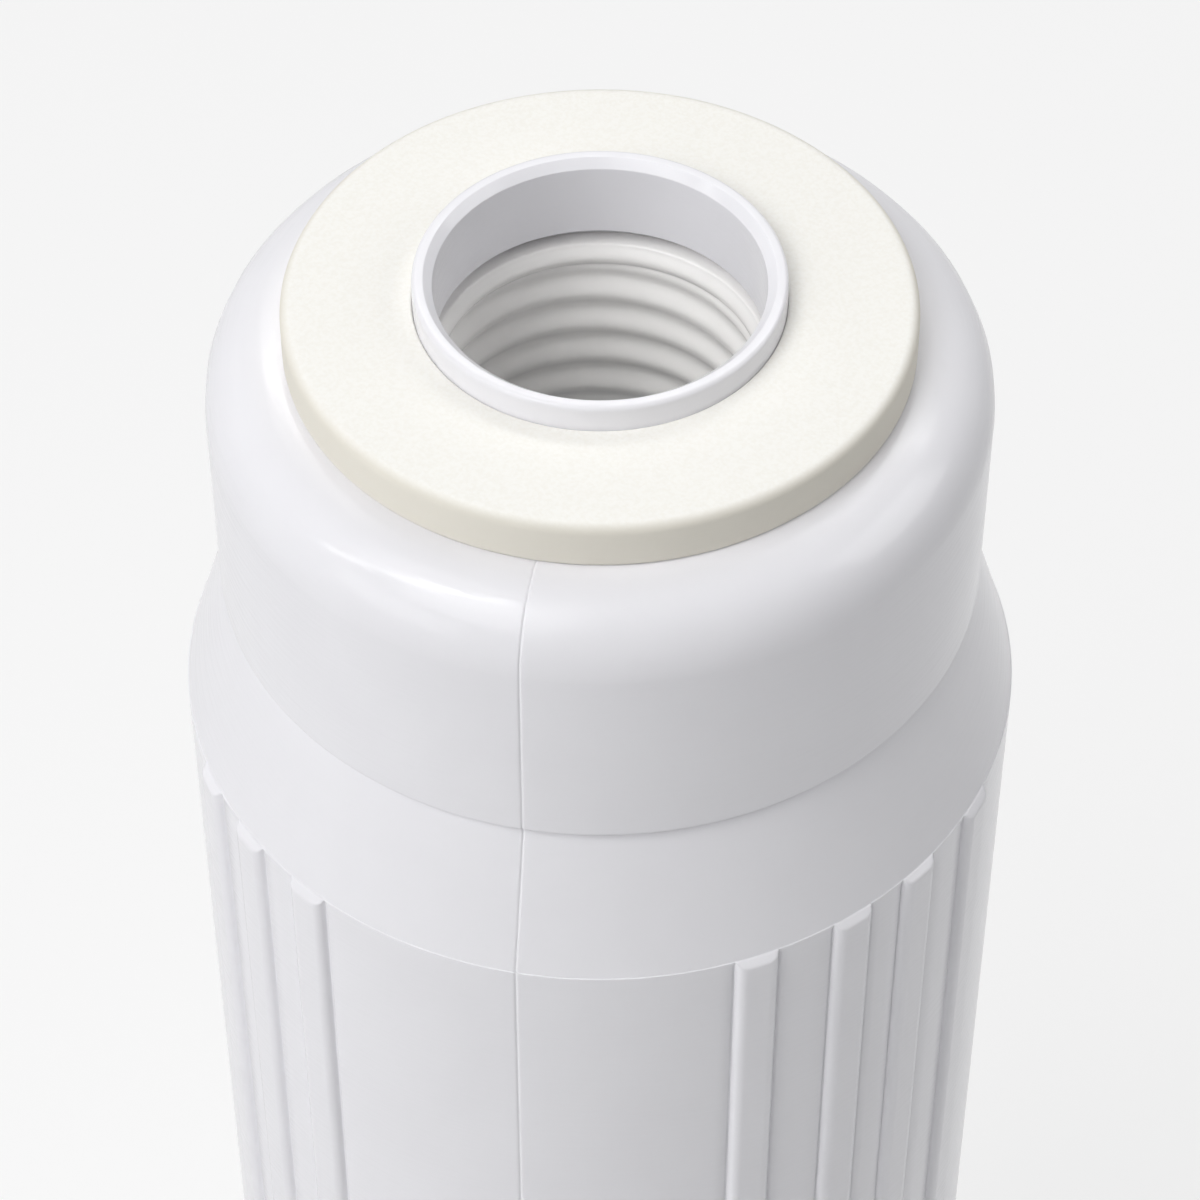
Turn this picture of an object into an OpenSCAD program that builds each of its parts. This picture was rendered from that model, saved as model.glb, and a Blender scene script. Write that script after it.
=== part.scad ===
// Drop-in filter cartridge with a threaded outlet neck, filled with fluoride-removing granules.
// The axis is Z. The origin is on the axis at the underside of the lower washer, where it stands.
// The mould's parting line runs up the -Y side, the front, and up the +Y side, both smooth panels.
// All sizes are in millimetres and all angles in degrees.

/* [Overall] */
// Distance between the two sealing faces, from washer to washer
seal_length = 248; // [180:1:520]

/* [Shell] */
// Diameter of the barrel between its ribs
body_d = 70; // [66:0.5:90]
// Wall thickness of the barrel
wall = 2.2; // [1.6:0.1:3]
// Height of the sloping shoulder below the collar
shoulder_h = 13.6; // [8:0.2:24]
// Outer diameter of the collar
collar_d = 62.8; // [58:0.2:66]
// How far the collar stands out over the top of the shoulder
collar_overhang = 0.6; // [0.2:0.1:1.6]
// Height of the collar
collar_h = 23.8; // [22:0.2:40]
// Radius of the collar's top edge
collar_round = 5.8; // [2:0.2:6]
// Thickness of the collar's flat roof
roof_t = 2.5; // [2:0.1:4]
// Inner radius where the roof meets the collar's wall
roof_fillet = 2.8; // [1:0.2:5]

/* [Neck] */
// Outer diameter of the outlet neck
neck_d = 29.3; // [28.6:0.1:32]
// Bore of the outlet neck
neck_bore_d = 26.1; // [26:0.1:27]
// How far the neck stands above the upper washer
neck_stand = 2.2; // [1:0.1:6]
// Radius of the rim's outer edge
rim_round = 0.8; // [0.3:0.1:0.9]
// Height and width of the slope that opens the bore above
rim_slope = 0.7; // [0.3:0.1:0.8]
// Height and width of the slope that opens the bore below
bore_relief = 1.6; // [0.8:0.1:1.8]

/* [Ribs] */
// Angles from the parting line to the ribs on its right
right_ribs = [32.2, 46.8, 58.9, 73]; // [26:0.1:80]
// Angles from the parting line to the ribs on its left
left_ribs = [31.6, 43.9, 55.3]; // [26:0.1:80]
// Height of a rib above the barrel
rib_h = 0.5; // [0.3:0.1:1.2]
// Width of a rib where it meets the barrel
rib_w = 3.7; // [2.6:0.1:5]
// Width of the slope on each side of a rib
rib_flank = 0.55; // [0.3:0.05:0.9]
// Length of the slope at each end of a rib
rib_ramp = 0.6; // [0.4:0.1:2]
// Height of the ribs' lower ends above the base
rib_foot_z = 20; // [12:1:40]

/* [Washers] */
// Outer diameter of the two sealing washers
washer_d = 50; // [44:0.5:50]
// Thickness of a washer
washer_t = 4.2; // [3:0.1:6]
// Radius of a washer's edges
washer_edge_r = 0.4; // [0.2:0.1:1]
// Gap between a washer's hole and what it fits round
washer_gap = 0.1; // [0.05:0.05:0.3]

/* [Threaded socket] */
// Distance from one thread crest to the next
thread_pitch = 3.5; // [3:0.1:4.5]
// Diameter inside the thread's crests
thread_crest_d = 25.2; // [24.6:0.1:25.4]
// Depth of the rounded thread
thread_depth = 0.9; // [0.5:0.1:1]
// Length of the socket
socket_l = 20.2; // [18:0.2:24]
// Wall of the socket behind the thread
socket_wall = 2.1; // [1.6:0.1:2.4]
// Depth below the roof at which the thread's crest starts, at the angle that follows
thread_start = 5.2; // [4.6:0.1:8]
// Angle round the axis at which the crest passes that depth
thread_start_angle = 101; // [0:1:359]
// Width of the rounded lip at the socket's mouth
lip_w = 2.8; // [2:0.2:3.4]
// Depth below the roof at which the lip is narrowest
lip_depth = 1.2; // [1:0.1:1.6]
// Width of the socket's lower flange, past its wall
socket_flange_w = 2.3; // [1.6:0.1:3]
// Thickness of the socket's flange
socket_flange_t = 2; // [1.5:0.1:3]
// Gap all round between the socket and the boss that holds it
socket_fit = 0.1; // [0.05:0.05:0.2]
// Wall of the boss under the roof that holds the socket
boss_wall = 2.2; // [1.6:0.1:3]
// Gap between the end of the boss and the socket's flange
boss_end_gap = 0.2; // [0.1:0.1:0.4]

/* [Outlet strainer] */
// Wall of the strainer cup
strainer_wall = 1.6; // [1.2:0.1:2]
// Thickness of the strainer's flange and floor
strainer_floor_t = 1.5; // [1.2:0.1:2.5]
// Height of the rim that enters the socket
strainer_rim_h = 2; // [1.4:0.2:2.4]
// Number of upright slots
strainer_slots = 16; // [8:2:24]
// Width of a slot
strainer_slot_w = 1.2; // [0.8:0.1:1.6]
// Height left closed above and below the slots
strainer_land = 1.5; // [1:0.1:2.5]
// Holes in the strainer's floor, round its centre
floor_holes = 8; // [5:1:10]
// Diameter of a floor hole
floor_hole_d = 2; // [1:0.2:2.4]
// Diameter of the circle that the floor holes lie on
floor_ring_d = 15; // [11:0.5:20]

/* [Filling] */
// Gap all round between the filling and the barrel
fill_gap = 0.2; // [0.1:0.1:0.5]
// Thickness of the felt disc at each end
felt_t = 4; // [2:0.5:8]
// Thickness of the foam disc that keeps the granules packed
foam_t = 8; // [4:0.5:16]

/* [Bottom cap] */
// Thickness of the cap's floor and flange
cap_floor_t = 3.2; // [2.4:0.1:5]
// Height of the skirt inside the barrel
skirt_h = 8; // [5:0.5:14]
// Thickness of the skirt
skirt_t = 2; // [1.4:0.1:2.4]
// Gap all round between the skirt and the barrel
skirt_fit = 0.15; // [0.1:0.05:0.3]
// Radius of the cap's lower edge
cap_edge_r = 1; // [0.4:0.1:2]
// Number of vanes that carry the lower felt
vanes = 12; // [6:1:12]
// Thickness of a vane and of the hub's wall
vane_t = 1.4; // [1:0.1:2]
// Outer diameter of the hub where the vanes meet
hub_d = 16; // [10:0.5:20]
// Inlet slots between two vanes
slots_per_bay = 2; // [1:1:2]
// Width of an inlet slot
inlet_slot_w = 2; // [1:0.1:2.4]
// Width of the plain land between the washer and the inlet slots
slot_land = 1.2; // [0.6:0.1:1.6]
// Gap between the inlet slots and the skirt
slot_margin = 0.45; // [0.2:0.05:0.8]
// Wall of the ring that centres the lower washer
spigot_wall = 2; // [1.4:0.1:3]
// Height of that ring
spigot_h = 2.6; // [1.5:0.1:2.8]

/* [Hidden] */
$fn = 96;

// Radii
body_r = body_d / 2;
inner_r = body_r - wall;
collar_r = collar_d / 2;
cone_top_r = collar_r - collar_overhang;
neck_r = neck_d / 2;
bore_r = neck_bore_d / 2;
crest_r = thread_crest_d / 2;
valley_r = crest_r + thread_depth;
sleeve_r = valley_r + socket_wall;
boss_inner_r = sleeve_r + socket_fit;
boss_r = boss_inner_r + boss_wall;
washer_hole_r = neck_r + washer_gap;
fill_r = inner_r - fill_gap;
skirt_r = inner_r - skirt_fit;

// Heights, from the top down
washer_top_z = seal_length;
roof_z = washer_top_z - washer_t;
ceiling_z = roof_z - roof_t;
collar_z = roof_z - collar_h;
shoulder_z = collar_z - shoulder_h;
socket_foot_z = ceiling_z - socket_l;
boss_foot_z = socket_foot_z + socket_flange_t + boss_end_gap;
neck_top_z = washer_top_z + neck_stand;

// The shoulder's wall is as thick as the barrel's, measured square to its slope
shoulder_slope = atan((body_r - cone_top_r) / shoulder_h);
inner_shoulder_z = shoulder_z - wall * tan(shoulder_slope / 2);
slope_wall = wall / cos(shoulder_slope);
core_r = cone_top_r - slope_wall;
core_z = collar_z;

// Heights, from the base up
cap_z = washer_t;
shell_foot_z = cap_z + cap_floor_t;
skirt_top_z = shell_foot_z + skirt_h;
felt_gap = 0.1;
upper_felt_z = inner_shoulder_z - felt_gap - felt_t;
foam_z = upper_felt_z - foam_t;
bed_z = skirt_top_z + felt_t;
strainer_foot_z = upper_felt_z + felt_t;

// Thread: it fades in over one share of its pitch below the lip, and out over another
lip_z = ceiling_z - lip_depth;
thread_start_z = ceiling_z - thread_start;
fade_in_share = 0.6;
fade_out_share = 0.4;
thread_columns = 48;
rows_per_pitch = 8;

// A rib starts this deep in the wall, so that the two are one solid
rib_root = wall / 2;
cut = 1;

// A closed ring section with four rounded edges, from r1 to r2 and z1 to z2
module rounded_section(r1, r2, z1, z2, edge) {
    translate([r1 + edge, z1]) square([r2 - r1 - 2 * edge, z2 - z1]);
    translate([r1, z1 + edge]) square([r2 - r1, z2 - z1 - 2 * edge]);
    for (r = [r1 + edge, r2 - edge])
        for (z = [z1 + edge, z2 - edge])
            translate([r, z]) circle(edge);
}

// The area left of a wall at radius r between z1 and z2, with its upper corner rounded
module rounded_core(r, z1, z2, corner) {
    translate([0, z1]) square([r, z2 - z1 - corner]);
    translate([0, z1]) square([r - corner, z2 - z1]);
    translate([r - corner, z2 - corner]) circle(corner);
}

// Outside of the shell: barrel, sloping shoulder, overhanging collar, neck
module shell_outline() {
    polygon([
        [0, shell_foot_z], [body_r, shell_foot_z], [body_r, shoulder_z],
        [cone_top_r, collar_z], [0, collar_z]
    ]);
    rounded_core(collar_r, collar_z, roof_z, collar_round);
    rounded_core(neck_r, ceiling_z, neck_top_z, rim_round);
}

// Space inside the shell, which narrows upwards so that the mould's core can be drawn out
module shell_cavity() {
    polygon([
        [0, shell_foot_z - cut], [inner_r, shell_foot_z - cut], [inner_r, inner_shoulder_z],
        [core_r, core_z], [0, core_z]
    ]);
    rounded_core(core_r, core_z, ceiling_z, roof_fillet);
}

// The bore through the roof and the neck, which opens in a slope at each end
module bore_section() {
    polygon([
        [0, ceiling_z - cut], [bore_r + bore_relief + cut, ceiling_z - cut],
        [bore_r, ceiling_z + bore_relief], [bore_r, neck_top_z - rim_slope],
        [bore_r + rim_slope + cut, neck_top_z + cut], [0, neck_top_z + cut]
    ]);
}

module shell_section() {
    difference() {
        shell_outline();
        difference() {
            shell_cavity();
            translate([boss_inner_r, boss_foot_z]) square([boss_wall, ceiling_z - boss_foot_z]);
        }
        bore_section();
    }
}

// A rib's cross-section on the -Y side: its sloping flanks run on to twice its height,
// where the band below cuts it off
module rib_section() {
    half = rib_w / 2;
    reach = 2;
    polygon([
        [-half, -(body_r - rib_root)], [half, -(body_r - rib_root)], [half, -body_r],
        [half - reach * rib_flank, -(body_r + reach * rib_h)],
        [-(half - reach * rib_flank), -(body_r + reach * rib_h)], [-half, -body_r]
    ]);
}

// The band that limits the ribs: their height, and the slopes at their ends
module rib_band() {
    rotate_extrude()
        polygon([
            [body_r - rib_root, rib_foot_z], [body_r, rib_foot_z],
            [body_r + rib_h, rib_foot_z + rib_ramp], [body_r + rib_h, shoulder_z - rib_ramp],
            [body_r, shoulder_z], [body_r - rib_root, shoulder_z]
        ]);
}

// The ribs beside the front panel, and the same ribs after a half turn beside the back one
module ribs() {
    intersection() {
        for (half_turn = [0, 180])
            for (angle = concat(right_ribs, -left_ribs))
                rotate([0, 0, half_turn + angle])
                    translate([0, 0, rib_foot_z])
                        linear_extrude(shoulder_z - rib_foot_z) rib_section();
        rib_band();
    }
}

// Barrel, shoulder, collar and neck, moulded in one piece
module shell() {
    color("#e8e9ee") {
        rotate_extrude() shell_section();
        ribs();
    }
}

// A flat sealing washer with its underside at z
module washer_at(z) {
    color("#f4f2e8")
        rotate_extrude()
            rounded_section(washer_hole_r, washer_d / 2, z, z + washer_t, washer_edge_r);
}

module top_washer() {
    washer_at(roof_z);
}

module bottom_washer() {
    washer_at(0);
}

// A smooth step from 0 at t = 0 to 1 at t = 1
function ease(t) = let (u = min(1, max(0, t))) u * u * (3 - 2 * u);

// How full the thread is at a height: it fades in below the lip and out above the strainer
function thread_share(z) =
    ease((lip_z - z) / (fade_in_share * thread_pitch))
    * ease((z - socket_foot_z - strainer_rim_h) / (fade_out_share * thread_pitch));

// The rounded bead at the socket's mouth
function lip_share(z) = abs(z - lip_z) < lip_w / 2 ? (1 + cos(360 * (z - lip_z) / lip_w)) / 2 : 0;

// The right-hand helix: 1 on the crest and 0 in the valley
function helix_share(z, angle) =
    (1 + cos(360 * (z - thread_start_z) / thread_pitch - (angle - thread_start_angle))) / 2;

function socket_bore_r(z, angle) =
    valley_r - thread_depth * max(lip_share(z), thread_share(z) * helix_share(z, angle));

// One column of the socket's skin: down the threaded bore, then up the outside
function socket_column(angle, rows) = concat(
    [for (i = [0 : rows])
        let (z = ceiling_z - i * socket_l / rows) [socket_bore_r(z, angle), angle, z]],
    [
        [sleeve_r + socket_flange_w, angle, socket_foot_z],
        [sleeve_r + socket_flange_w, angle, socket_foot_z + socket_flange_t],
        [sleeve_r, angle, socket_foot_z + socket_flange_t],
        [sleeve_r, angle, ceiling_z]
    ]
);

// Sleeve with a rounded internal thread, held in the boss under the roof
module threaded_socket() {
    rows = ceil(rows_per_pitch * socket_l / thread_pitch);
    around = len(socket_column(0, rows));
    points = [
        for (c = [0 : thread_columns - 1])
            for (p = socket_column(c * 360 / thread_columns, rows))
                [p[0] * cos(p[1]), p[0] * sin(p[1]), p[2]]
    ];
    faces = [
        for (c = [0 : thread_columns - 1], k = [0 : around - 1])
            let (
                next_c = (c + 1) % thread_columns,
                next_k = (k + 1) % around,
                a = c * around + k,
                b = c * around + next_k,
                d = next_c * around + k,
                e = next_c * around + next_k
            )
            each [[a, b, e], [a, e, d]]
    ];
    color("#f1efea") polyhedron(points, faces);
}

// Slotted cup under the socket, standing on the upper felt
module outlet_strainer() {
    rim_r = valley_r - socket_fit;
    cup_inner_r = crest_r - socket_fit;
    cup_r = cup_inner_r + strainer_wall;
    slot_z = strainer_foot_z + strainer_floor_t + strainer_land;
    slot_top_z = socket_foot_z - strainer_floor_t - strainer_land;
    color("#dfe1e4")
        difference() {
            union() {
                translate([0, 0, strainer_foot_z])
                    cylinder(h = socket_foot_z - strainer_foot_z, r = cup_r);
                translate([0, 0, socket_foot_z - strainer_floor_t])
                    cylinder(h = strainer_floor_t, r = sleeve_r + socket_flange_w);
                translate([0, 0, socket_foot_z - cut])
                    cylinder(h = strainer_rim_h + cut, r = rim_r);
            }
            translate([0, 0, strainer_foot_z + strainer_floor_t])
                cylinder(h = socket_foot_z - strainer_foot_z + strainer_rim_h, r = cup_inner_r);
            for (i = [0 : strainer_slots / 2 - 1])
                rotate([0, 0, i * 360 / strainer_slots])
                    translate([-cup_r - cut, -strainer_slot_w / 2, slot_z])
                        cube([2 * (cup_r + cut), strainer_slot_w, slot_top_z - slot_z]);
            floor_hole();
            for (i = [0 : floor_holes - 1])
                rotate([0, 0, i * 360 / floor_holes])
                    translate([floor_ring_d / 2, 0, 0]) floor_hole();
        }
}

// A drain hole through the strainer's floor
module floor_hole() {
    translate([0, 0, strainer_foot_z - cut])
        cylinder(h = strainer_floor_t + 2 * cut, d = floor_hole_d);
}

// A disc of the filling, from z up
module filling_disc(z, thickness) {
    translate([0, 0, z]) cylinder(h = thickness, r = fill_r);
}

module post_filter_felt() {
    color("#f0f0ea") filling_disc(upper_felt_z, felt_t);
}

module expansion_foam() {
    color("#d8d6c8") filling_disc(foam_z, foam_t);
}

module alumina_bed() {
    color("#e6e2d8") filling_disc(bed_z, foam_z - bed_z);
}

module inlet_felt() {
    color("#f0f0ea") filling_disc(skirt_top_z, felt_t);
}

// Floor, flange, skirt, hub ring and washer spigot of the bottom cap
module cap_section() {
    translate([0, cap_z]) square([body_r - cap_edge_r, cap_floor_t]);
    translate([0, cap_z + cap_edge_r]) square([body_r, cap_floor_t - cap_edge_r]);
    translate([body_r - cap_edge_r, cap_z + cap_edge_r]) circle(cap_edge_r);
    translate([skirt_r - skirt_t, shell_foot_z - cut]) square([skirt_t, skirt_h + cut]);
    translate([hub_d / 2 - vane_t, shell_foot_z - cut]) square([vane_t, skirt_h + cut]);
    translate([neck_r - spigot_wall, cap_z - spigot_h]) square([spigot_wall, spigot_h + cut]);
}

// Plug at the lower end: vanes carry the felt, and water enters through slots round the washer
module bottom_cap() {
    bay = 360 / vanes;
    slot_r = washer_d / 2 + slot_land;
    slot_l = skirt_r - skirt_t - slot_margin - slot_r;
    vane_r = hub_d / 2 - vane_t / 2;
    color("#e8e9ee")
        difference() {
            union() {
                rotate_extrude() cap_section();
                for (i = [0 : vanes - 1])
                    rotate([0, 0, i * bay])
                        translate([vane_r, -vane_t / 2, shell_foot_z - cut])
                            cube([skirt_r - skirt_t / 2 - vane_r, vane_t, skirt_h + cut]);
            }
            for (i = [0 : vanes - 1])
                for (j = [1 : slots_per_bay])
                    rotate([0, 0, bay * (i + j / (slots_per_bay + 1))])
                        translate([slot_r, -inlet_slot_w / 2, cap_z - cut])
                            cube([slot_l, inlet_slot_w, cap_floor_t + 2 * cut]);
        }
}

shell();
top_washer();
threaded_socket();
outlet_strainer();
post_filter_felt();
expansion_foam();
alumina_bed();
inlet_felt();
bottom_cap();
bottom_washer();
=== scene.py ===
# %% [markdown]
# A drop-in water filter cartridge is a white moulded casing that holds a bed of granules. Water
# enters through slots in the bottom cap, rises through the bed and leaves by the threaded neck. The
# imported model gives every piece's place and size; this lesson gives the pieces that show a finer
# surface and the finish of the real material. All lengths are in metres, as Blender counts them.

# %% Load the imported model
import math

import bpy
import numpy as np
from mathutils import Matrix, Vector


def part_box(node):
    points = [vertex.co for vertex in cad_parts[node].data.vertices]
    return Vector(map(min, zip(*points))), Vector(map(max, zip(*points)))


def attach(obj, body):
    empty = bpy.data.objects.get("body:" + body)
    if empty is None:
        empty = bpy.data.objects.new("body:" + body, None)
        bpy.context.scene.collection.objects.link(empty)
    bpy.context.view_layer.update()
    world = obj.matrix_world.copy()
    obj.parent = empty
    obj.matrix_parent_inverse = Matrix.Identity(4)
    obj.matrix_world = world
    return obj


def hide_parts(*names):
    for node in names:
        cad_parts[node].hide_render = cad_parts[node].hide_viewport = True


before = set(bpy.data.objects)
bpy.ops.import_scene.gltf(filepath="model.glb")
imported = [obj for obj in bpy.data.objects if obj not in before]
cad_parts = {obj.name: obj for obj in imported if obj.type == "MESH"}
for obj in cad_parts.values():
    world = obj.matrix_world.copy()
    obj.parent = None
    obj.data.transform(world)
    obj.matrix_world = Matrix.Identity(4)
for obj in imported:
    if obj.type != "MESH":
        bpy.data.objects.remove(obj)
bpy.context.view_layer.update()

MM = 0.001
print("nodes:", sorted(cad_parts))

# %% [markdown]
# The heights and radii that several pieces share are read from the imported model's boxes, so that
# every new surface lands on the solid it stands for. The smaller sizes, such as a fillet or a rib's
# slope, are the casing's own and are named here once.

# %% Heights and radii from the frame
shell_low, shell_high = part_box("shell")
washer_low, washer_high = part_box("top_washer")
socket_low, socket_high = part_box("threaded_socket")
cap_low, cap_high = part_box("bottom_cap")

SHELL_FOOT = shell_low.z
NECK_TOP = shell_high.z
ROOF = washer_low.z
CEILING = socket_high.z
SOCKET_FOOT = socket_low.z
BODY_R = cap_high.x
WASHER_R = washer_high.x
FLANGE_R = socket_high.x
print(f"barrel radius {BODY_R / MM:.2f} mm, neck top at {NECK_TOP / MM:.2f} mm")

# %% The casing's own sizes
WALL = 2.2 * MM
COLLAR_R = 31.4 * MM
COLLAR_H = 23.8 * MM
COLLAR_ROUND = 5.8 * MM
OVERHANG = 0.6 * MM
SHOULDER_LEDGE = 0.08 * MM
SHOULDER_H = 13.6 * MM
NECK_R = 14.65 * MM
BORE_R = 13.05 * MM
RIM_ROUND = 0.35 * MM
RIM_SLOPE = 0.7 * MM
BORE_RELIEF = 1.6 * MM
BOSS_INNER_R = 15.7 * MM
BOSS_WALL = 2.2 * MM
BOSS_END = 2.2 * MM
ROOF_FILLET = 2.8 * MM

COLLAR_FOOT = ROOF - COLLAR_H
SHOULDER = COLLAR_FOOT - SHOULDER_H
CONE_R = COLLAR_R - OVERHANG

# %% [markdown]
# Most pieces here were turned or moulded round one axis, so a revolved outline describes them. An
# outline is a short list of corners, each with the radius that rounds it. Straight stretches get a
# point close to each end, which keeps the smooth shading of a rounded edge from spreading over the
# flat face beside it.

# %% Outlines with rounded corners
def rounded_outline(corners, arc_steps=6, margin=0.25 * MM):
    """Closed outline through corners (radius, height, fillet).

    A fillet of radius f at a corner whose sides turn by the angle a touches each side at
    f * tan(a / 2) from the corner, and its arc is swept from one touching point to the other.
    """
    corners = np.array(corners)
    spot, fillet = corners[:, :2], corners[:, 2]
    to_next = np.roll(spot, -1, 0) - spot
    ahead = to_next / np.linalg.norm(to_next, axis=1, keepdims=True)
    behind = np.roll(ahead, 1, 0)
    turn = np.arctan2(behind[:, 0] * ahead[:, 1] - behind[:, 1] * ahead[:, 0], (behind * ahead).sum(1))
    touch = fillet * np.tan(np.abs(turn) / 2)
    points = []
    for i in range(len(corners)):
        start = spot[i] - behind[i] * touch[i]
        normal = np.array([-behind[i][1], behind[i][0]]) * np.sign(turn[i])
        centre = start + normal * fillet[i]
        share = np.linspace(0, 1, arc_steps + 1)[:, None] * abs(turn[i])
        points.append(centre + fillet[i] * (behind[i] * np.sin(share) - normal * np.cos(share)))
        free = np.linalg.norm(to_next[i]) - touch[i] - np.roll(touch, -1)[i]
        leave, arrive = points[-1][-1], points[-1][-1] + ahead[i] * free
        if free > 3 * margin:
            points.append(np.array([leave + ahead[i] * margin, arrive - ahead[i] * margin]))
    return np.vstack(points)


def around(radius, height, angle):
    """Points at a radius and height; the angle is 0 on the -Y side and grows towards +X."""
    return np.stack([radius * np.sin(angle), -radius * np.cos(angle), height + 0 * angle], -1)


# %% [markdown]
# Every new surface is a grid of points that closes round the axis. A ring, such as a washer, also
# closes in the other direction. A disc has a middle above and below instead, where one point joins
# a fan of triangles, so that no face is left without area.

# %% Meshes from grids
def make_piece(name, points, faces):
    """A smooth-shaded piece at the origin from arrays of points and faces."""
    mesh = bpy.data.meshes.new(name)
    mesh.from_pydata(points.tolist(), [], faces)
    mesh.polygons.foreach_set("use_smooth", np.ones(len(faces), bool))
    mesh.update()
    piece = bpy.data.objects.new(name, mesh)
    bpy.context.scene.collection.objects.link(piece)
    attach(piece, "root")
    print(f"{name}: {sum(len(face) - 2 for face in faces)} triangles")
    return piece


def grid_quads(rows, columns):
    """Faces between the points (i, j), (i, j+1), (i+1, j+1) and (i+1, j), closed both ways."""
    index = np.arange(rows * columns).reshape(rows, columns)
    above = np.roll(index, -1, 0)
    return np.stack([index, np.roll(index, -1, 1), np.roll(above, -1, 1), above], -1)


def ring_piece(name, grid):
    """A grid (rows, columns, 3) that closes in both directions, like a ring's skin."""
    rows, columns = grid.shape[:2]
    return make_piece(name, grid.reshape(-1, 3), grid_quads(rows, columns).reshape(-1, 4).tolist())


def disc_piece(name, grid, low_middle, high_middle):
    """A grid whose first row runs round the lower middle point and whose last row round the upper."""
    rows, columns = grid.shape[:2]
    quads = grid_quads(rows, columns)[:-1].reshape(-1, 4).tolist()
    first = np.arange(columns)
    following = np.roll(first, -1)
    last = first + (rows - 1) * columns
    low_fan = np.stack([np.full(columns, rows * columns), following, first], -1)
    high_fan = np.stack([np.full(columns, rows * columns + 1), last, np.roll(last, -1)], -1)
    points = np.vstack([grid.reshape(-1, 3), low_middle, high_middle])
    return make_piece(name, points, quads + low_fan.tolist() + high_fan.tolist())


# %% [markdown]
# The casing is one moulding: barrel, sloping shoulder, overhanging collar and neck. It could be a
# Screw modifier on a curve with the ribs joined on, but joined ribs leave hard seams. Here the ribs
# and the mould's parting line are small amounts added to the radius of one grid, so that they grow
# out of the wall as moulded plastic does.

# %% The casing's outline
slope_angle = math.atan((BODY_R - CONE_R) / SHOULDER_H)
core_r = CONE_R - WALL / math.cos(slope_angle)
inner_shoulder = SHOULDER - WALL * math.tan(slope_angle / 2)
inner_r = BODY_R - WALL
boss_foot = SOCKET_FOOT + BOSS_END

casing_corners = [
    (BODY_R, SHELL_FOOT, 0.3 * MM),
    (BODY_R, SHOULDER, 0.1 * MM),
    (BODY_R - SHOULDER_LEDGE, SHOULDER, 0.02 * MM),
    (CONE_R, COLLAR_FOOT, 0.1 * MM),
    (COLLAR_R, COLLAR_FOOT, 0.25 * MM),
    (COLLAR_R, ROOF, COLLAR_ROUND),
    (NECK_R, ROOF, 0.3 * MM),
    (NECK_R, NECK_TOP, RIM_ROUND),
    (BORE_R + RIM_SLOPE, NECK_TOP, 0.15 * MM),
    (BORE_R, NECK_TOP - RIM_SLOPE, 0.15 * MM),
    (BORE_R, CEILING + BORE_RELIEF, 0.15 * MM),
    (BORE_R + BORE_RELIEF, CEILING, 0.1 * MM),
    (BOSS_INNER_R, CEILING, 0.05 * MM),
    (BOSS_INNER_R, boss_foot, 0.2 * MM),
    (BOSS_INNER_R + BOSS_WALL, boss_foot, 0.2 * MM),
    (BOSS_INNER_R + BOSS_WALL, CEILING, 0.3 * MM),
    (core_r, CEILING, ROOF_FILLET),
    (core_r, COLLAR_FOOT, 0.2 * MM),
    (inner_r, inner_shoulder, 0.2 * MM),
    (inner_r, SHELL_FOOT, 0.2 * MM),
]
casing_outline = rounded_outline(casing_corners)
print(f"casing outline: {len(casing_outline)} points")

# %% Ribs and parting line, as functions of angle and height
RIGHT_RIBS = [32.2, 46.8, 58.9, 73]
LEFT_RIBS = [31.6, 43.9, 55.3]
RIB_H = 0.6 * MM
RIB_W = 3.7 * MM
RIB_EDGE = 0.75 * MM
RIB_BULGE = 1.5
RIB_RAMP = 0.6 * MM
RIB_FOOT = 20 * MM
RIB_SOFTNESS = 0.12
FOOT_DEPTH = 0.18 * MM
FOOT_W = 0.15 * MM
FOOT_PLACE = 0.1 * MM

front_ribs = np.radians(RIGHT_RIBS + [-angle for angle in LEFT_RIBS])
rib_angles = np.concatenate([front_ribs, front_ribs + math.pi])


def soft_step(t, softness=RIB_SOFTNESS):
    """Rises from 0 at t = 0 to 1 at t = 1 in a straight line whose two bends are rounded.

    It is the difference of two soft ramps, and a soft ramp is half of t plus the root of t squared
    plus the softness squared.
    """
    ramp = lambda u: (u + np.sqrt(u * u + softness ** 2)) / 2
    return ramp(t) - ramp(t - 1)


def rib_height(angle, height):
    """How far the ribs raise the barrel: a rounded edge on each side and a slope at each end.

    The edge rises steeply at the foot and levels out at the top: one less the power of what is left
    of the way, and the same root of that. A power of 1 would be a straight slope, and 2 an ellipse.
    A fine bell-shaped groove runs along each foot.
    """
    apart = (angle[..., None] - rib_angles + math.pi) % (2 * math.pi) - math.pi
    beside = np.abs(apart).min(-1) * BODY_R
    across = np.clip((RIB_W / 2 - beside) / RIB_EDGE, 0, 1)
    along = np.minimum(height - RIB_FOOT, SHOULDER - height) / RIB_RAMP
    edge = (1 - (1 - across) ** RIB_BULGE) ** (1 / RIB_BULGE)
    groove = FOOT_DEPTH * np.exp(-((beside - RIB_W / 2 - FOOT_PLACE) / FOOT_W) ** 2)
    return RIB_H * np.minimum(edge, soft_step(along)) - groove * soft_step(along)


SEAM_DEPTH = 0.08 * MM
SEAM_W = 0.11 * MM


def seam_depth(angle):
    """A fine bell-shaped groove at the two angles where the mould's halves met."""
    beside = np.abs((angle + math.pi / 2) % math.pi - math.pi / 2) * BODY_R
    return SEAM_DEPTH * np.exp(-(beside / SEAM_W) ** 2)


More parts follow.
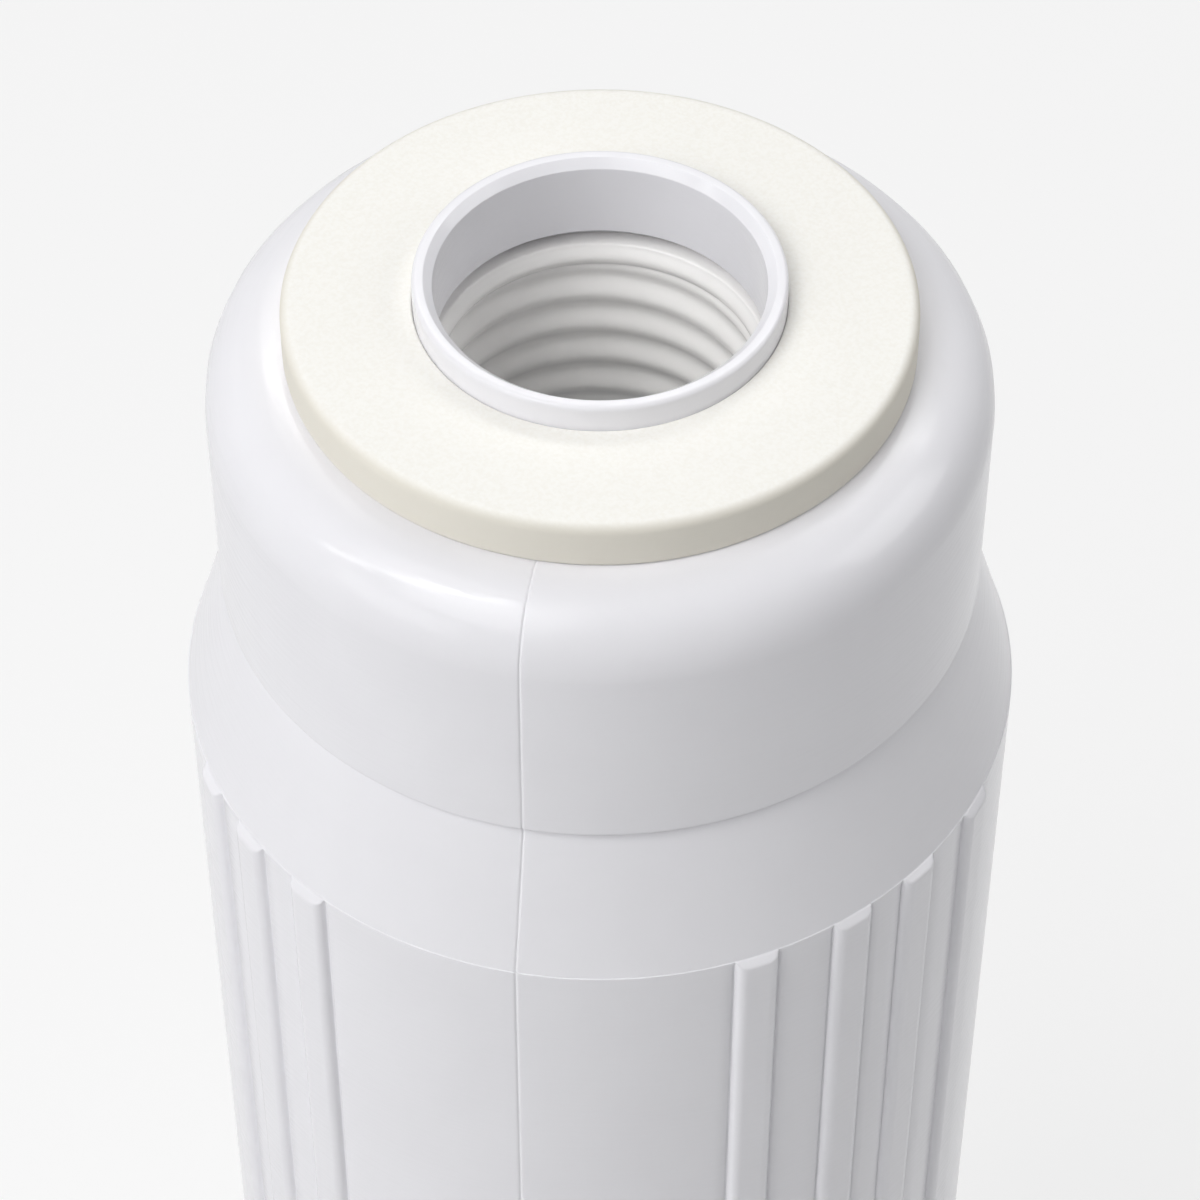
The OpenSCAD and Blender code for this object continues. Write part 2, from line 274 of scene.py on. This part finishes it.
# %% Columns of the casing's grid
rib_steps = np.array([0.38, 0.26, 0.17, 0.1, 0.03, -0.02, -0.08, -0.17, -0.3, -0.48, -0.75, -0.95])
seam_steps = np.array([0, 0.05, 0.1, 0.15, 0.2, 0.3, 0.5])
rib_offsets = (RIB_W / 2 + rib_steps * MM) / BODY_R
seam_offsets = seam_steps * MM / BODY_R
close_columns = np.concatenate([
    (rib_angles[:, None] + np.concatenate([rib_offsets, -rib_offsets])).ravel(),
    (np.array([0, math.pi])[:, None] + np.concatenate([seam_offsets, -seam_offsets[1:]])).ravel(),
]) % (2 * math.pi)
even_columns = np.arange(160) * 2 * math.pi / 160
to_close = np.abs((even_columns[:, None] - close_columns + math.pi) % (2 * math.pi) - math.pi).min(1)
columns = np.sort(np.concatenate([close_columns, even_columns[to_close > 0.012]]))
print(f"casing: {len(columns)} columns")

# %% The barrel's extra rows at the ribs' ends
barrel_rows = np.concatenate([
    RIB_FOOT + np.array([-0.3, -0.1, 0, 0.1, 0.25, 0.4, 0.5, 0.6, 0.75, 1.1]) * MM,
    np.linspace(RIB_FOOT + 3 * MM, SHOULDER - 3 * MM, 8),
    SHOULDER - np.array([1.1, 0.75, 0.6, 0.5, 0.4]) * MM,
])
on_barrel = np.isclose(casing_outline[:, 0], BODY_R, atol=1e-7)
barrel_ends = np.flatnonzero(on_barrel)
below, top = casing_outline[:barrel_ends[1] + 1], casing_outline[barrel_ends[1] + 1:]
keep = (barrel_rows > below[-1, 1]) & (barrel_rows < top[0, 1])
outline = np.vstack([below, np.stack([np.full(keep.sum(), BODY_R), barrel_rows[keep]], -1), top])
outside = np.arange(len(outline)) < np.flatnonzero(
    (outline[:, 0] < WASHER_R) & (outline[:, 1] > COLLAR_FOOT))[0]

# %% The casing's mesh
along_outline = np.roll(outline, -1, 0) - np.roll(outline, 1, 0)
along_outline /= np.linalg.norm(along_outline, axis=1, keepdims=True)
outward = np.where(outside[:, None], np.stack([along_outline[:, 1], -along_outline[:, 0]], -1), 0)

angle, radius = np.meshgrid(columns, outline[:, 0])
height = np.repeat(outline[:, 1:], len(columns), 1)
raised = np.where(outside[:, None] & (height <= SHOULDER), rib_height(angle, height), 0)
radius = radius + raised - outward[:, :1] * seam_depth(angle)
height = height - outward[:, 1:] * seam_depth(angle)
casing = ring_piece("casing", around(radius, height, angle))
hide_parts("shell")

# %% [markdown]
# The sealing washers are cut from sheet foam rubber. A knife leaves the cut side almost square with
# a slightly soft edge, and the side bulges a little where the sheet is pressed. A revolved outline
# with small fillets gives both, and a slow wave keeps the ring from looking machined.

# %% Sealing washers
WASHER_EDGE = 0.8 * MM
WASHER_FOOT = 0.45 * MM
HOLE_EDGE = 0.3 * MM
WASHER_WAVE = 0.06 * MM
HOLE_R = NECK_R + 0.02 * MM


def washer_piece(name, node):
    """A flat ring in a node's box; its outer side waves in by up to the wave's height."""
    low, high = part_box(node)
    section = rounded_outline([
        (high.x, low.z, WASHER_FOOT), (high.x, high.z, WASHER_EDGE),
        (HOLE_R, high.z, HOLE_EDGE), (HOLE_R, low.z, WASHER_FOOT),
    ])
    turn = np.arange(192) * 2 * math.pi / 192
    angle, radius = np.meshgrid(turn, section[:, 0])
    height = np.repeat(section[:, 1:], len(turn), 1)
    wave = (2 + np.sin(3 * angle + 0.6) + np.sin(7 * angle + 2.1)) / 4
    radius = radius - np.where(radius > (HOLE_R + high.x) / 2, WASHER_WAVE * wave, 0)
    piece = ring_piece(name, around(radius, height, angle))
    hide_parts(node)
    return piece


upper_washer = washer_piece("upper_washer", "top_washer")
lower_washer = washer_piece("lower_washer", "bottom_washer")

# %% [markdown]
# The threaded sleeve shows through the bore. Its rounded thread could be a swept bead, but then the
# bead would sit on the wall with a crease on each side. As one radius that depends on height and
# angle, crest and valley flow into each other and the thread fades out at both ends.

# %% The thread as a radius
PITCH = 3.5 * MM
CREST_R = 12.6 * MM
THREAD_DEPTH = 0.6 * MM
SLEEVE_R = 15.6 * MM
THREAD_START = 5.2 * MM
START_ANGLE = math.radians(191)
LIP_WIDTH = 2.8 * MM
LIP_DEPTH = 1.2 * MM
STRAINER_RIM = 2 * MM
FADE_IN = 0.6 * PITCH
FADE_OUT = 0.4 * PITCH
VALLEY_R = CREST_R + THREAD_DEPTH


def ease(t):
    """A smooth step: three times t squared less twice t cubed, held at 0 and 1 outside."""
    t = np.clip(t, 0, 1)
    return t * t * (3 - 2 * t)


def sleeve_radius(height, angle):
    """Valley radius less the depth times a cosine wave that climbs one pitch in a right-hand turn.

    Near the mouth a single bell-shaped bead, the lip, takes over from the wave.
    """
    below = CEILING - height
    lip = np.where(np.abs(below - LIP_DEPTH) < LIP_WIDTH / 2,
                   (1 + np.cos(2 * math.pi * (below - LIP_DEPTH) / LIP_WIDTH)) / 2, 0)
    wave = (1 + np.cos(2 * math.pi * (below - THREAD_START) / PITCH + angle - START_ANGLE)) / 2
    share = ease((below - LIP_DEPTH) / FADE_IN) * ease((height - SOCKET_FOOT - STRAINER_RIM) / FADE_OUT)
    return VALLEY_R - THREAD_DEPTH * np.maximum(lip, share * wave)


# %% The threaded sleeve
FLANGE_T = 2 * MM
CHAMFER = 0.2 * MM
outer_side = np.array([
    (VALLEY_R + CHAMFER, SOCKET_FOOT), (FLANGE_R - CHAMFER, SOCKET_FOOT),
    (FLANGE_R, SOCKET_FOOT + CHAMFER), (FLANGE_R, SOCKET_FOOT + FLANGE_T - CHAMFER),
    (FLANGE_R - CHAMFER, SOCKET_FOOT + FLANGE_T), (SLEEVE_R + CHAMFER, SOCKET_FOOT + FLANGE_T),
    (SLEEVE_R, SOCKET_FOOT + FLANGE_T + CHAMFER), (SLEEVE_R, CEILING - CHAMFER),
    (SLEEVE_R - CHAMFER, CEILING), (VALLEY_R + CHAMFER, CEILING),
])
bore_rows = np.linspace(CEILING, SOCKET_FOOT, 211)
turn = np.arange(224) * 2 * math.pi / 224
bore_angle, bore_height = np.meshgrid(turn, bore_rows)
side_angle, side_radius = np.meshgrid(turn, outer_side[:, 0])
side_height = np.repeat(outer_side[:, 1:], len(turn), 1)
sleeve = ring_piece("thread_sleeve", np.vstack([
    around(side_radius, side_height, side_angle),
    around(sleeve_radius(bore_height, bore_angle), bore_height, bore_angle),
]))
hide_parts("threaded_socket")

# %% [markdown]
# The filling is felt, foam, granules and felt again. None of it is flat or square at the edge: felt
# lies in low lumps, the foam bulges between them, and the granules leave a rough skin. Each is a
# disc of rings whose points are pulled inwards by a sum of waves in several directions.

# %% Uneven discs
def waves(points, length, count, seed):
    """Between 0 and 1: the mean of sine waves of one length that run in random directions."""
    draw = np.random.default_rng(seed)
    direction = draw.normal(size=(count, 3))
    direction /= np.linalg.norm(direction, axis=1, keepdims=True)
    phase = draw.uniform(0, 2 * math.pi, count)
    return (1 + np.sin(points @ direction.T * 2 * math.pi / length + phase).mean(-1)) / 2


def filling_piece(name, node, columns, rings, side_rows, edge, relief, wave_length, seed):
    """A disc in a node's box: rounded edge, and points pulled inwards by up to the relief."""
    low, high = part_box(node)
    middle = (low.z + high.z) / 2
    turn = np.arange(columns) * 2 * math.pi / columns
    flat = high.x * np.linspace(0.06, 1 - edge / high.x, rings)
    bend = np.linspace(0, math.pi / 2, 6)[1:]
    corner_r = high.x - edge + edge * np.sin(bend)
    corner_z = edge * (1 - np.cos(bend))
    side = np.linspace(low.z + edge, high.z - edge, side_rows)[1:-1]
    radius = np.concatenate([flat, corner_r, np.full(len(side), high.x), corner_r[::-1], flat[::-1]])
    height = np.concatenate([
        np.full(rings, low.z), low.z + corner_z, side, high.z - corner_z[::-1], np.full(rings, high.z)])
    angle, radius = np.meshgrid(turn, radius)
    height = np.repeat(height[:, None], columns, 1)
    pull = relief * waves(around(radius, height, angle), wave_length, 24, seed)
    on_side = (radius - high.x + edge) / edge
    radius = radius - np.where(on_side > 0, pull * np.clip(on_side, 0, 1), 0)
    height = height + np.sign(middle - height) * pull * (1 - np.clip(on_side, 0, 1))
    return disc_piece(name, around(radius, height, angle), [0, 0, low.z + relief / 2],
                      [0, 0, high.z - relief / 2])


# %% Felts, foam and granules
felt_above = filling_piece("felt_above", "post_filter_felt", 128, 24, 6, 0.8 * MM, 0.3 * MM, 7 * MM, 1)
felt_below = filling_piece("felt_below", "inlet_felt", 128, 24, 6, 0.8 * MM, 0.3 * MM, 7 * MM, 2)
foam_pad = filling_piece("foam_pad", "expansion_foam", 128, 24, 10, 1.2 * MM, 0.4 * MM, 12 * MM, 3)
granule_bed = filling_piece("granule_bed", "alumina_bed", 256, 40, 110, 0.5 * MM, 0.5 * MM, 2.6 * MM, 4)
for piece, node, slot in (
    (felt_above, "post_filter_felt", "felt"), (felt_below, "inlet_felt", "felt"),
    (foam_pad, "expansion_foam", "soft_foam"), (granule_bed, "alumina_bed", "granules"),
):
    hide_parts(node)

# %% [markdown]
# A real surface is never one flat colour. Each finish below starts from the Principled shader and
# adds, at the scale of the real material, a faint change of colour and relief; the casing's
# roughness changes too. The patterns read Object coordinates, in metres, so a size in millimetres
# can be written as it is.

# %% Helpers for finishes
def new_finish(name, colour, roughness):
    """A material with a Principled shader; returns the material, its tree and the shader."""
    material = bpy.data.materials.new(name)
    material.use_nodes = True
    shader = material.node_tree.nodes["Principled BSDF"]
    shader.inputs["Base Color"].default_value = (*colour, 1)
    shader.inputs["Roughness"].default_value = roughness
    return material, material.node_tree, shader


def place(tree, stretch=(1, 1, 1), turn=(0, 0, 0)):
    """Object coordinates, turned and then stretched along the axes."""
    source = tree.nodes.new("ShaderNodeTexCoord")
    turned = tree.nodes.new("ShaderNodeMapping")
    turned.inputs["Rotation"].default_value = turn
    scaled = tree.nodes.new("ShaderNodeMapping")
    scaled.inputs["Scale"].default_value = stretch
    tree.links.new(source.outputs["Object"], turned.inputs["Vector"])
    tree.links.new(turned.outputs["Vector"], scaled.inputs["Vector"])
    return scaled.outputs["Vector"]


def noise(tree, vector, size, detail=2.0, roughness=0.5):
    """Soft noise from 0 to 1 whose spots are about as wide as the size."""
    node = tree.nodes.new("ShaderNodeTexNoise")
    node.inputs["Scale"].default_value = 1 / size
    node.inputs["Detail"].default_value = detail
    node.inputs["Roughness"].default_value = roughness
    tree.links.new(vector, node.inputs["Vector"])
    return node.outputs[0]


def cells(tree, vector, size, feature="F1"):
    """Distance to the middle of the nearest cell, in cells as wide as the size."""
    node = tree.nodes.new("ShaderNodeTexVoronoi")
    node.feature = feature
    node.inputs["Scale"].default_value = 1 / size
    tree.links.new(vector, node.inputs["Vector"])
    return node.outputs["Distance"]


def spread(tree, value, low, high, to_low, to_high):
    """Maps a value's range to another range, held at its ends."""
    node = tree.nodes.new("ShaderNodeMapRange")
    for socket, number in zip(("From Min", "From Max", "To Min", "To Max"), (low, high, to_low, to_high)):
        node.inputs[socket].default_value = number
    tree.links.new(value, node.inputs["Value"])
    return node.outputs["Result"]


def from_axis(tree):
    """Distance from the Z axis in metres."""
    node = tree.nodes.new("ShaderNodeVectorMath")
    node.operation = "LENGTH"
    tree.links.new(place(tree, (1, 1, 0)), node.inputs[0])
    return node.outputs["Value"]


def round_axis(tree, stretch):
    """Arc length round the Z axis at the barrel's radius, distance from the axis, and height."""
    apart = tree.nodes.new("ShaderNodeSeparateXYZ")
    tree.links.new(place(tree), apart.inputs[0])
    turn = tree.nodes.new("ShaderNodeMath")
    turn.operation = "ARCTAN2"
    tree.links.new(apart.outputs["X"], turn.inputs[0])
    tree.links.new(apart.outputs["Y"], turn.inputs[1])
    arc = spread(tree, turn.outputs[0], -math.pi, math.pi, -math.pi * BODY_R, math.pi * BODY_R)
    joined = tree.nodes.new("ShaderNodeCombineXYZ")
    for socket, value in zip(("X", "Y", "Z"), (arc, from_axis(tree), apart.outputs["Z"])):
        tree.links.new(value, joined.inputs[socket])
    scaled = tree.nodes.new("ShaderNodeMapping")
    scaled.inputs["Scale"].default_value = stretch
    tree.links.new(joined.outputs[0], scaled.inputs["Vector"])
    return scaled.outputs["Vector"]


def tint(tree, share, colour, other):
    """Mixes two colours, each given or made by other nodes, by a share."""
    node = tree.nodes.new("ShaderNodeMix")
    node.data_type = "RGBA"
    for socket, value in ((6, colour), (7, other)):
        if isinstance(value, tuple):
            node.inputs[socket].default_value = (*value, 1)
        else:
            tree.links.new(value, node.inputs[socket])
    tree.links.new(share, node.inputs[0])
    return node.outputs[2]


def relief(tree, pattern, depth, under=None):
    """Bumps the surface by a pattern times a depth in metres, on top of another relief."""
    node = tree.nodes.new("ShaderNodeBump")
    node.inputs["Strength"].default_value = 1
    node.inputs["Distance"].default_value = depth
    tree.links.new(pattern, node.inputs["Height"])
    if under is not None:
        tree.links.new(under, node.inputs["Normal"])
    return node.outputs["Normal"]


# %% [markdown]
# The casing is satin polypropylene. The mould's spark-eroded skin leaves a fine grain, the thick
# collar sinks a little unevenly as it cools, and handling leaves hair-fine scratches where the
# rounded edge catches the light. So three reliefs are stacked, and roughness varies with the grain.

# %% Casing plastic
CASING_COLOUR = (0.86, 0.856, 0.888)
CASING_SHADE = (0.845, 0.84, 0.873)


def casing_finish():
    material, tree, shader = new_finish("casing_plastic", CASING_COLOUR, 0.34)
    shader.inputs["Specular IOR Level"].default_value = 0.05
    shader.inputs["Coat Weight"].default_value = 0.5
    shader.inputs["Coat Roughness"].default_value = 0.1
    plain = place(tree)
    mottle = noise(tree, plain, 9 * MM, detail=3)
    tree.links.new(tint(tree, spread(tree, mottle, 0.3, 0.7, 0, 1), CASING_COLOUR, CASING_SHADE),
                   shader.inputs["Base Color"])
    grain = noise(tree, plain, 0.2 * MM, detail=2)
    tree.links.new(spread(tree, grain, 0.3, 0.7, 0.3, 0.38), shader.inputs["Roughness"])
    sink = relief(tree, noise(tree, plain, 7 * MM, detail=1), 0.02 * MM)
    tree.links.new(sink, shader.inputs["Normal"])
    wrinkles = noise(tree, round_axis(tree, (0.1, 1, 1)), 0.5 * MM, detail=1)
    wrinkled = relief(tree, wrinkles, 0.026 * MM, sink)
    tree.links.new(relief(tree, grain, 0.007 * MM, wrinkled), shader.inputs["Coat Normal"])
    return material


# %% [markdown]
# Foam rubber is matt and slightly warm. Its skin is full of closed pores of a few tenths of a
# millimetre, which show as fine pits and as faint specks of shade.

# %% Foam rubber of the washers
FOAM_COLOUR = (0.93, 0.92, 0.88)
FOAM_PIT = (0.9, 0.885, 0.835)
# Painted shade: the colour of the washers' outer side, darker and warmer than the top.
FOAM_SIDE_SHADE = (0.81, 0.78, 0.7)


def washer_finish():
    material, tree, shader = new_finish("foam_rubber", FOAM_COLOUR, 0.85)
    shader.inputs["Specular IOR Level"].default_value = 0.25
    plain = place(tree)
    pores = noise(tree, plain, 0.3 * MM, detail=3)
    skin = tint(tree, spread(tree, pores, 0.35, 0.6, 1, 0), FOAM_COLOUR, FOAM_PIT)
    # The outer side is mixed towards that colour, which paints shade on the side.
    side_shade_share = spread(tree, from_axis(tree), WASHER_R - 0.7 * MM, WASHER_R - 0.1 * MM, 0, 1)
    tree.links.new(tint(tree, side_shade_share, skin, FOAM_SIDE_SHADE), shader.inputs["Base Color"])
    lumps = relief(tree, noise(tree, plain, 2.5 * MM, detail=2), 0.03 * MM)
    tree.links.new(relief(tree, pores, 0.012 * MM, lumps), shader.inputs["Normal"])
    return material


# %% [markdown]
# The sleeve and the strainer are plain polypropylene as well, a little warmer than the casing and
# smoother, because their moulds are turned and polished. Faint turning lines run round the axis.

# %% Plastic of the sleeve and the strainer
def turned_finish(name, colour, shade, roughness):
    material, tree, shader = new_finish(name, colour, roughness)
    plain = place(tree)
    mottle = noise(tree, plain, 5 * MM, detail=2)
    tree.links.new(tint(tree, spread(tree, mottle, 0.3, 0.7, 0, 1), colour, shade),
                   shader.inputs["Base Color"])
    lines = relief(tree, noise(tree, place(tree, (0.05, 0.05, 1)), 0.3 * MM, detail=1), 0.003 * MM)
    tree.links.new(relief(tree, noise(tree, plain, 1.5 * MM, detail=1), 0.006 * MM, lines),
                   shader.inputs["Normal"])
    return material


# %% [markdown]
# Felt is a mat of fibres, so its relief is noise stretched in two crossing directions, and a little
# sheen lights its fuzz. Open foam is a net of bubbles, and the bed is a heap of rounded grains;
# both are cells, with painted shade in the middle of each bubble and between the grains.

# %% Felt, open foam and granules
def felt_finish():
    material, tree, shader = new_finish("needled_felt", (0.88, 0.88, 0.84), 0.95)
    shader.inputs["Sheen Weight"].default_value = 0.3
    shader.inputs["Specular IOR Level"].default_value = 0.2
    along = noise(tree, place(tree, (0.15, 1, 1), (0, 0, 0.4)), 0.25 * MM, detail=2)
    across = noise(tree, place(tree, (1, 0.15, 1), (0, 0, 0.4)), 0.25 * MM, detail=2)
    tree.links.new(tint(tree, spread(tree, along, 0.3, 0.7, 0, 1), (0.88, 0.88, 0.84), (0.8, 0.8, 0.76)),
                   shader.inputs["Base Color"])
    fibres = relief(tree, along, 0.08 * MM)
    tree.links.new(relief(tree, across, 0.08 * MM, fibres), shader.inputs["Normal"])
    return material


def open_foam_finish():
    material, tree, shader = new_finish("open_foam", (0.78, 0.76, 0.68), 0.9)
    shader.inputs["Specular IOR Level"].default_value = 0.2
    bubbles = cells(tree, place(tree), 0.9 * MM)
    # The darker colour in the middle of each bubble is painted shade.
    tree.links.new(tint(tree, spread(tree, bubbles, 0.2, 0.6, 1, 0), (0.78, 0.76, 0.68), (0.5, 0.48, 0.42)),
                   shader.inputs["Base Color"])
    tree.links.new(relief(tree, bubbles, 0.25 * MM), shader.inputs["Normal"])
    return material


def granule_finish():
    material, tree, shader = new_finish("alumina_granules", (0.86, 0.84, 0.79), 0.9)
    shader.inputs["Specular IOR Level"].default_value = 0.2
    grains = cells(tree, place(tree), 0.9 * MM)
    # The darker colour between the grains is painted shade.
    tree.links.new(tint(tree, spread(tree, grains, 0.35, 0.75, 0, 1), (0.86, 0.84, 0.79), (0.42, 0.4, 0.36)),
                   shader.inputs["Base Color"])
    tree.links.new(relief(tree, spread(tree, grains, 0, 0.8, 1, 0), 0.35 * MM), shader.inputs["Normal"])
    return material


# %% Finishes onto pieces
casing_plastic = casing_finish()
foam_rubber = washer_finish()
sleeve_plastic = turned_finish("sleeve_plastic", (0.93, 0.92, 0.905), (0.91, 0.9, 0.885), 0.26)
strainer_plastic = turned_finish("strainer_plastic", (0.76, 0.77, 0.78), (0.73, 0.74, 0.75), 0.4)
needled_felt = felt_finish()
open_foam = open_foam_finish()
alumina_granules = granule_finish()

finishes = {
    casing: casing_plastic, upper_washer: foam_rubber, lower_washer: foam_rubber,
    sleeve: sleeve_plastic, felt_above: needled_felt, felt_below: needled_felt,
    foam_pad: open_foam, granule_bed: alumina_granules,
    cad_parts["outlet_strainer"]: strainer_plastic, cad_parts["bottom_cap"]: casing_plastic,
}
for piece, material in finishes.items():
    piece.data.materials.clear()
    piece.data.materials.append(material)
    print(f"{piece.name}: {material.name}")

# %% Camera
VIEW_AZIMUTH = math.radians(11.1)
VIEW_PITCH = math.radians(47.57)
CAMERA_BACK = 0.23957
CAMERA_RISE = 0.22697
camera_data = bpy.data.cameras.new("camera")
camera_data.lens = 126.8
camera_data.sensor_width = 36
camera = bpy.data.objects.new("camera", camera_data)
bpy.context.scene.collection.objects.link(camera)
bpy.context.scene.camera = camera
camera.location = (CAMERA_BACK * math.sin(VIEW_AZIMUTH), -CAMERA_BACK * math.cos(VIEW_AZIMUTH),
                   washer_high.z + CAMERA_RISE)
camera.rotation_euler = (math.pi / 2 - VIEW_PITCH, 0, VIEW_AZIMUTH)

# %% [markdown]
# The photo has a pale, almost white ground. More light would burn the white plastic out, so the
# floor and the world get their paleness only for rays that come from the camera, a reflection or
# a clear material. The floor also has a plain diffuse share, which keeps the object's shadow.

# %% Light rays that see the pale ground
GROUND = 0.92
AMBIENT = 0.05


def sees_ground(tree):
    """1 for a ray from the camera, from a gloss or through a clear material, else 0."""
    path = tree.nodes.new("ShaderNodeLightPath")
    either = tree.nodes.new("ShaderNodeMath")
    either.operation = "MAXIMUM"
    any_of = tree.nodes.new("ShaderNodeMath")
    any_of.operation = "MAXIMUM"
    tree.links.new(path.outputs["Is Camera Ray"], either.inputs[0])
    tree.links.new(path.outputs["Is Glossy Ray"], either.inputs[1])
    tree.links.new(either.outputs[0], any_of.inputs[0])
    tree.links.new(path.outputs["Is Transmission Ray"], any_of.inputs[1])
    return any_of.outputs[0]


# %% World
world = bpy.data.worlds.new("studio")
bpy.context.scene.world = world
world.use_nodes = True
sky = world.node_tree
background = sky.nodes["Background"]
background.inputs["Color"].default_value = (1, 1, 1, 1)
sky.links.new(spread(sky, sees_ground(sky), 0, 1, AMBIENT, GROUND), background.inputs["Strength"])

# %% Floor
FLOOR_HALF = 4.0
FLOOR_COLOUR = 0.8
FLOOR_SEEN = 0.3
FLOOR_GLOW = 0.66
FADE_NEAR, FADE_FAR = 0.6, 2.5
corners = np.array([[-1, -1, 0], [1, -1, 0], [1, 1, 0], [-1, 1, 0]]) * FLOOR_HALF
floor_mesh = bpy.data.meshes.new("floor")
floor_mesh.from_pydata(corners.tolist(), [], [[0, 1, 2, 3]])
floor = bpy.data.objects.new("floor", floor_mesh)
bpy.context.scene.collection.objects.link(floor)
floor_material, floor_tree, floor_shader = new_finish("pale_floor", (FLOOR_COLOUR,) * 3, 0.9)
floor_shader.inputs["Specular IOR Level"].default_value = 0
floor_shader.inputs["Emission Color"].default_value = (1, 1, 1, 1)
floor_place = floor_tree.nodes.new("ShaderNodeTexCoord")
far_off = floor_tree.nodes.new("ShaderNodeVectorMath")
far_off.operation = "LENGTH"
floor_tree.links.new(floor_place.outputs["Object"], far_off.inputs[0])
glow = floor_tree.nodes.new("ShaderNodeMath")
glow.operation = "MULTIPLY"
floor_tree.links.new(spread(floor_tree, far_off.outputs["Value"], FADE_NEAR, FADE_FAR, FLOOR_GLOW, GROUND),
                     glow.inputs[0])
floor_tree.links.new(sees_ground(floor_tree), glow.inputs[1])
floor_tree.links.new(glow.outputs[0], floor_shader.inputs["Emission Strength"])
floor_tree.links.new(tint(floor_tree, sees_ground(floor_tree), (FLOOR_COLOUR,) * 3, (FLOOR_SEEN,) * 3),
                     floor_shader.inputs["Base Color"])
floor_mesh.materials.append(floor_material)

# %% Lamps
def add_lamp(name, azimuth, elevation, width, length, roll, power, distance=1.2):
    """A rectangular area lamp aimed at the neck; azimuth 0 is the -Y side and 90 the +X side.

    Its length stands upright at a roll of 0 and leans towards a higher azimuth as the roll grows.
    """
    data = bpy.data.lights.new(name, "AREA")
    data.shape = "RECTANGLE"
    data.size = width
    data.size_y = length
    data.energy = power
    lamp = bpy.data.objects.new(name, data)
    bpy.context.scene.collection.objects.link(lamp)
    lamp.visible_camera = False
    turn, rise = math.radians(azimuth), math.radians(elevation)
    back = np.array([math.sin(turn) * math.cos(rise), -math.cos(turn) * math.cos(rise), math.sin(rise)])
    lamp.location = back * distance + np.array([0, 0, ROOF])
    facing = Matrix.Rotation(turn, 3, "Z") @ Matrix.Rotation(math.pi / 2 - rise, 3, "X")
    lamp.rotation_euler = (facing @ Matrix.Rotation(-math.radians(roll), 3, "Z")).to_euler()
    return lamp


LAMPS = {
    "key": (-55, 48, 0.12, 1.1, 29, 2.7),
    "high": (-45, 62, 0.8, 0.8, 0, 3.5),
    "fill": (-24, 44, 0.8, 0.8, 0, 5.6),
    "low": (-42, 10, 0.7, 0.5, 0, 2.2),
    "left": (-101, 16, 1.1, 0.04, 0, 0.3),
    "right": (101, 30, 0.7, 0.7, 0, 4.2),
    "back": (193, 50, 1, 0.7, 0, 3.2),
    "glint": (178, 49, 1.3, 0.09, 0, 2.1),
}
for name, (azimuth, elevation, width, length, roll, power) in LAMPS.items():
    add_lamp(name, azimuth, elevation, width, length, roll, power)
    print(f"lamp {name}: {power} W")

scene = bpy.context.scene
scene.view_settings.view_transform = "Standard"
